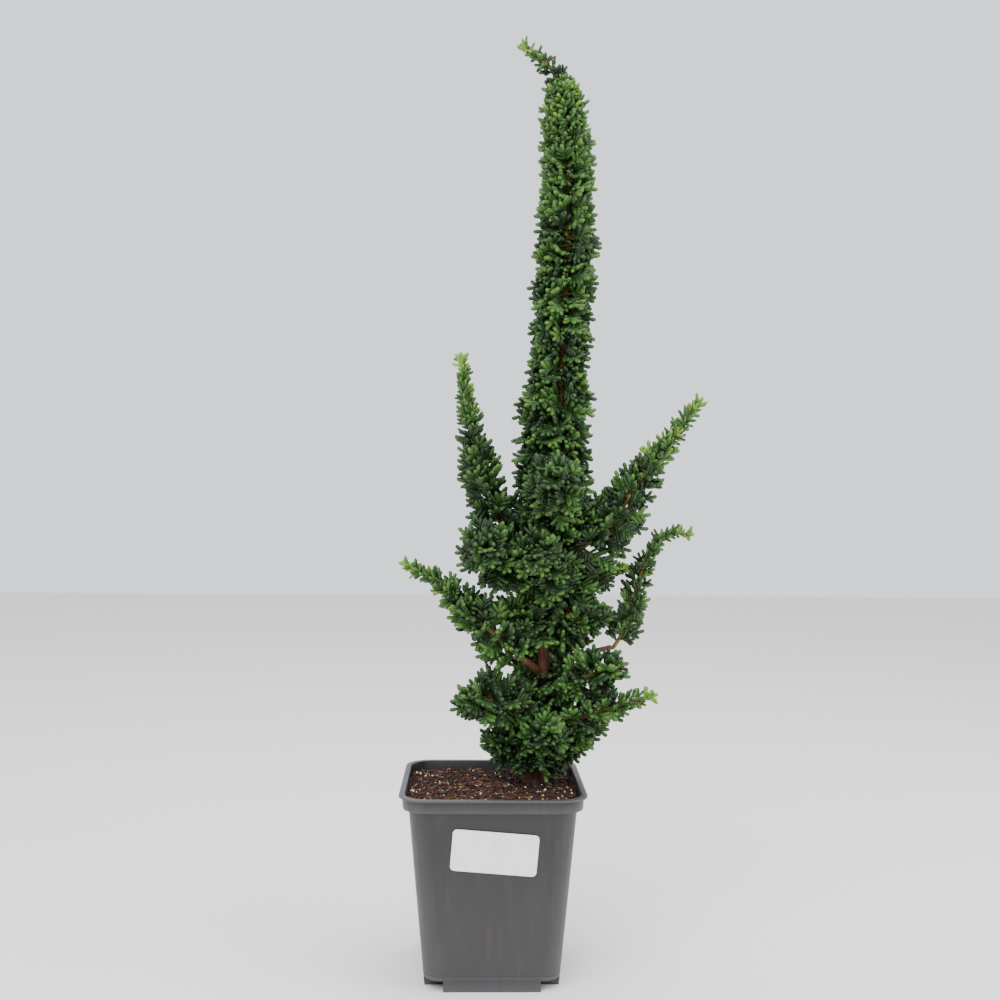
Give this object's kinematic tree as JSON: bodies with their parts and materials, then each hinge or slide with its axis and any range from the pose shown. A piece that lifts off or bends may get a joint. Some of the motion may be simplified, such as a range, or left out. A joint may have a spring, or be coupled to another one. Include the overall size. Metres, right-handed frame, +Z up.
{
  "type": "potted sekka hinoki cypress bonsai",
  "caption": "Young dwarf cypress grown as an upright bonsai, with a tall leader, rising arms and dense cord-like green foliage, in a square dark plastic nursery pot.",
  "frame": {"origin": "centre of the pot's flat underside, on the surface that it stands on", "axes": "+Z up, along the trunk; -Y towards the pot's labelled front; +X to the right of it"},
  "size_m": [0.1848, 0.1406, 0.5705],
  "materials": {
    "pot_plastic": "satin anthracite moulded plastic, lightly scuffed and dusty",
    "soil": "moist red-brown peat and bark fibre with pale grains",
    "label_paper": "blank white paper sticker",
    "bark": "thin flaking red-brown bark, turning green towards the tips",
    "foliage": "dark green cord-like shoots with yellow-green tips"
  },
  "bodies": {
    "root": {"bough_back_arm": "bark", "bough_back_spire": "bark", "bough_front_clump": "bark", "bough_left_arm": "bark", "bough_left_clump": "bark", "bough_left_low": "bark", "bough_left_spire": "bark", "bough_right_candle": "bark", "bough_right_inner": "bark", "bough_right_low": "bark", "bough_right_spire": "bark", "foliage_back_arm": "foliage", "foliage_back_clump": "foliage", "foliage_back_middle": "foliage", "foliage_back_spire": "foliage", "foliage_front_clump": "foliage", "foliage_front_fan": "foliage", "foliage_leader_1a": "foliage", "foliage_leader_1b": "foliage", "foliage_leader_1c": "foliage", "foliage_leader_2a": "foliage", "foliage_leader_2b": "foliage", "foliage_leader_2c": "foliage", "foliage_leader_3a": "foliage", "foliage_leader_3b": "foliage", "foliage_leader_3c": "foliage", "foliage_leader_4a": "foliage", "foliage_leader_4b": "foliage", "foliage_leader_4c": "foliage", "foliage_leader_5a": "foliage", "foliage_leader_5b": "foliage", "foliage_leader_tip": "foliage", "foliage_left_arm": "foliage", "foliage_left_clump": "foliage", "foliage_left_inner": "foliage", "foliage_left_low": "foliage", "foliage_left_spire": "foliage", "foliage_right_candle": "foliage", "foliage_right_inner": "foliage", "foliage_right_low": "foliage", "foliage_right_middle": "foliage", "foliage_right_spire": "foliage", "foliage_right_upper": "foliage", "foliage_skirt_back": "foliage", "foliage_skirt_front": "foliage", "foliage_skirt_left": "foliage", "foliage_skirt_right": "foliage", "label": "label_paper", "pot": "pot_plastic", "soil": "soil", "trunk": "bark"}
  },
  "joints": []
}
